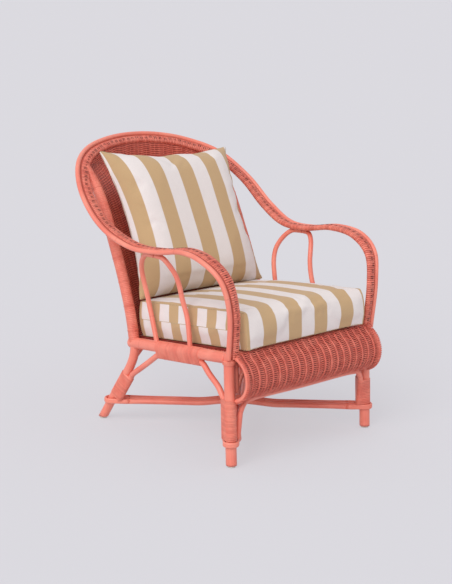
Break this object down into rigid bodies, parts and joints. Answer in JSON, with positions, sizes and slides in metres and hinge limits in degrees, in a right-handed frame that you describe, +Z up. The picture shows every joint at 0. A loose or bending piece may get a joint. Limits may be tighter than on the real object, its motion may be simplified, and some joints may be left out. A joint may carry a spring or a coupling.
{
  "type": "rattan armchair",
  "caption": "Low lounge armchair of bent cane poles with a wrapped bow for arms and hooped back, a woven apron and back, and loose striped cushions.",
  "frame": {"origin": "on the floor under the middle of the chair's bounding box", "axes": "+Z up, -Y to the front of the chair, +X to the right of a person who looks at its front"},
  "size_m": [0.728, 0.9154, 0.8959],
  "materials": {
    "pole": "coral lacquered cane pole",
    "cane": "coral lacquered cane wrapping",
    "weave": "coral lacquered woven cane",
    "glide": "pale moulded plastic",
    "canvas": "striped cotton canvas"
  },
  "bodies": {
    "frame": {"bow_wrapped_band": "cane", "bow_outer_pole": "pole", "front_leg_left": "pole", "front_leg_right": "pole", "side_rail_left": "cane", "side_rail_right": "cane", "rear_leg_left": "pole", "rear_leg_right": "pole", "back_post_left": "cane", "back_post_right": "cane", "front_rail": "cane", "rear_rail": "cane", "front_inner_pole_left": "pole", "front_inner_pole_right": "pole", "side_brace_left": "pole", "side_brace_right": "pole", "front_brace_left": "pole", "rear_brace_left": "pole", "front_brace_right": "pole", "rear_brace_right": "pole", "front_leg_wrap_left": "cane", "rear_leg_wrap_left": "cane", "side_rail_wrap_left": "cane", "front_leg_wrap_right": "cane", "rear_leg_wrap_right": "cane", "side_rail_wrap_right": "cane", "arm_loop_front_left": "pole", "arm_loop_rear_left": "pole", "arm_loop_front_right": "pole", "arm_loop_rear_right": "pole", "stretcher_core_left": "pole", "stretcher_loop_left": "pole", "stretcher_core_right": "pole", "stretcher_loop_right": "pole", "apron_bottom_rod": "pole", "apron_rim_left": "pole", "apron_rim_right": "pole", "apron_top_rod": "pole", "apron_panel": "weave", "front_leg_collar_left": "cane", "front_leg_collar_right": "cane", "back_panel": "weave", "seat_bar_1": "pole", "seat_bar_2": "pole", "seat_bar_3": "pole", "seat_deck": "weave", "foot_glide_front_left": "glide", "foot_glide_front_right": "glide", "foot_glide_rear_left": "glide", "foot_glide_rear_right": "glide"},
    "seat_cushion": {"seat_cushion": "canvas"},
    "back_cushion": {"back_cushion": "canvas"}
  },
  "joints": [
    {"name": "seat_cushion_lift", "type": "slide", "parent": "frame", "child": "seat_cushion", "axis": [0, 0, 1], "range_m": [0, 0.36]},
    {"name": "back_cushion_lift", "type": "slide", "parent": "seat_cushion", "child": "back_cushion", "axis": [0, 0, 1], "range_m": [0, 0.5]}
  ]
}
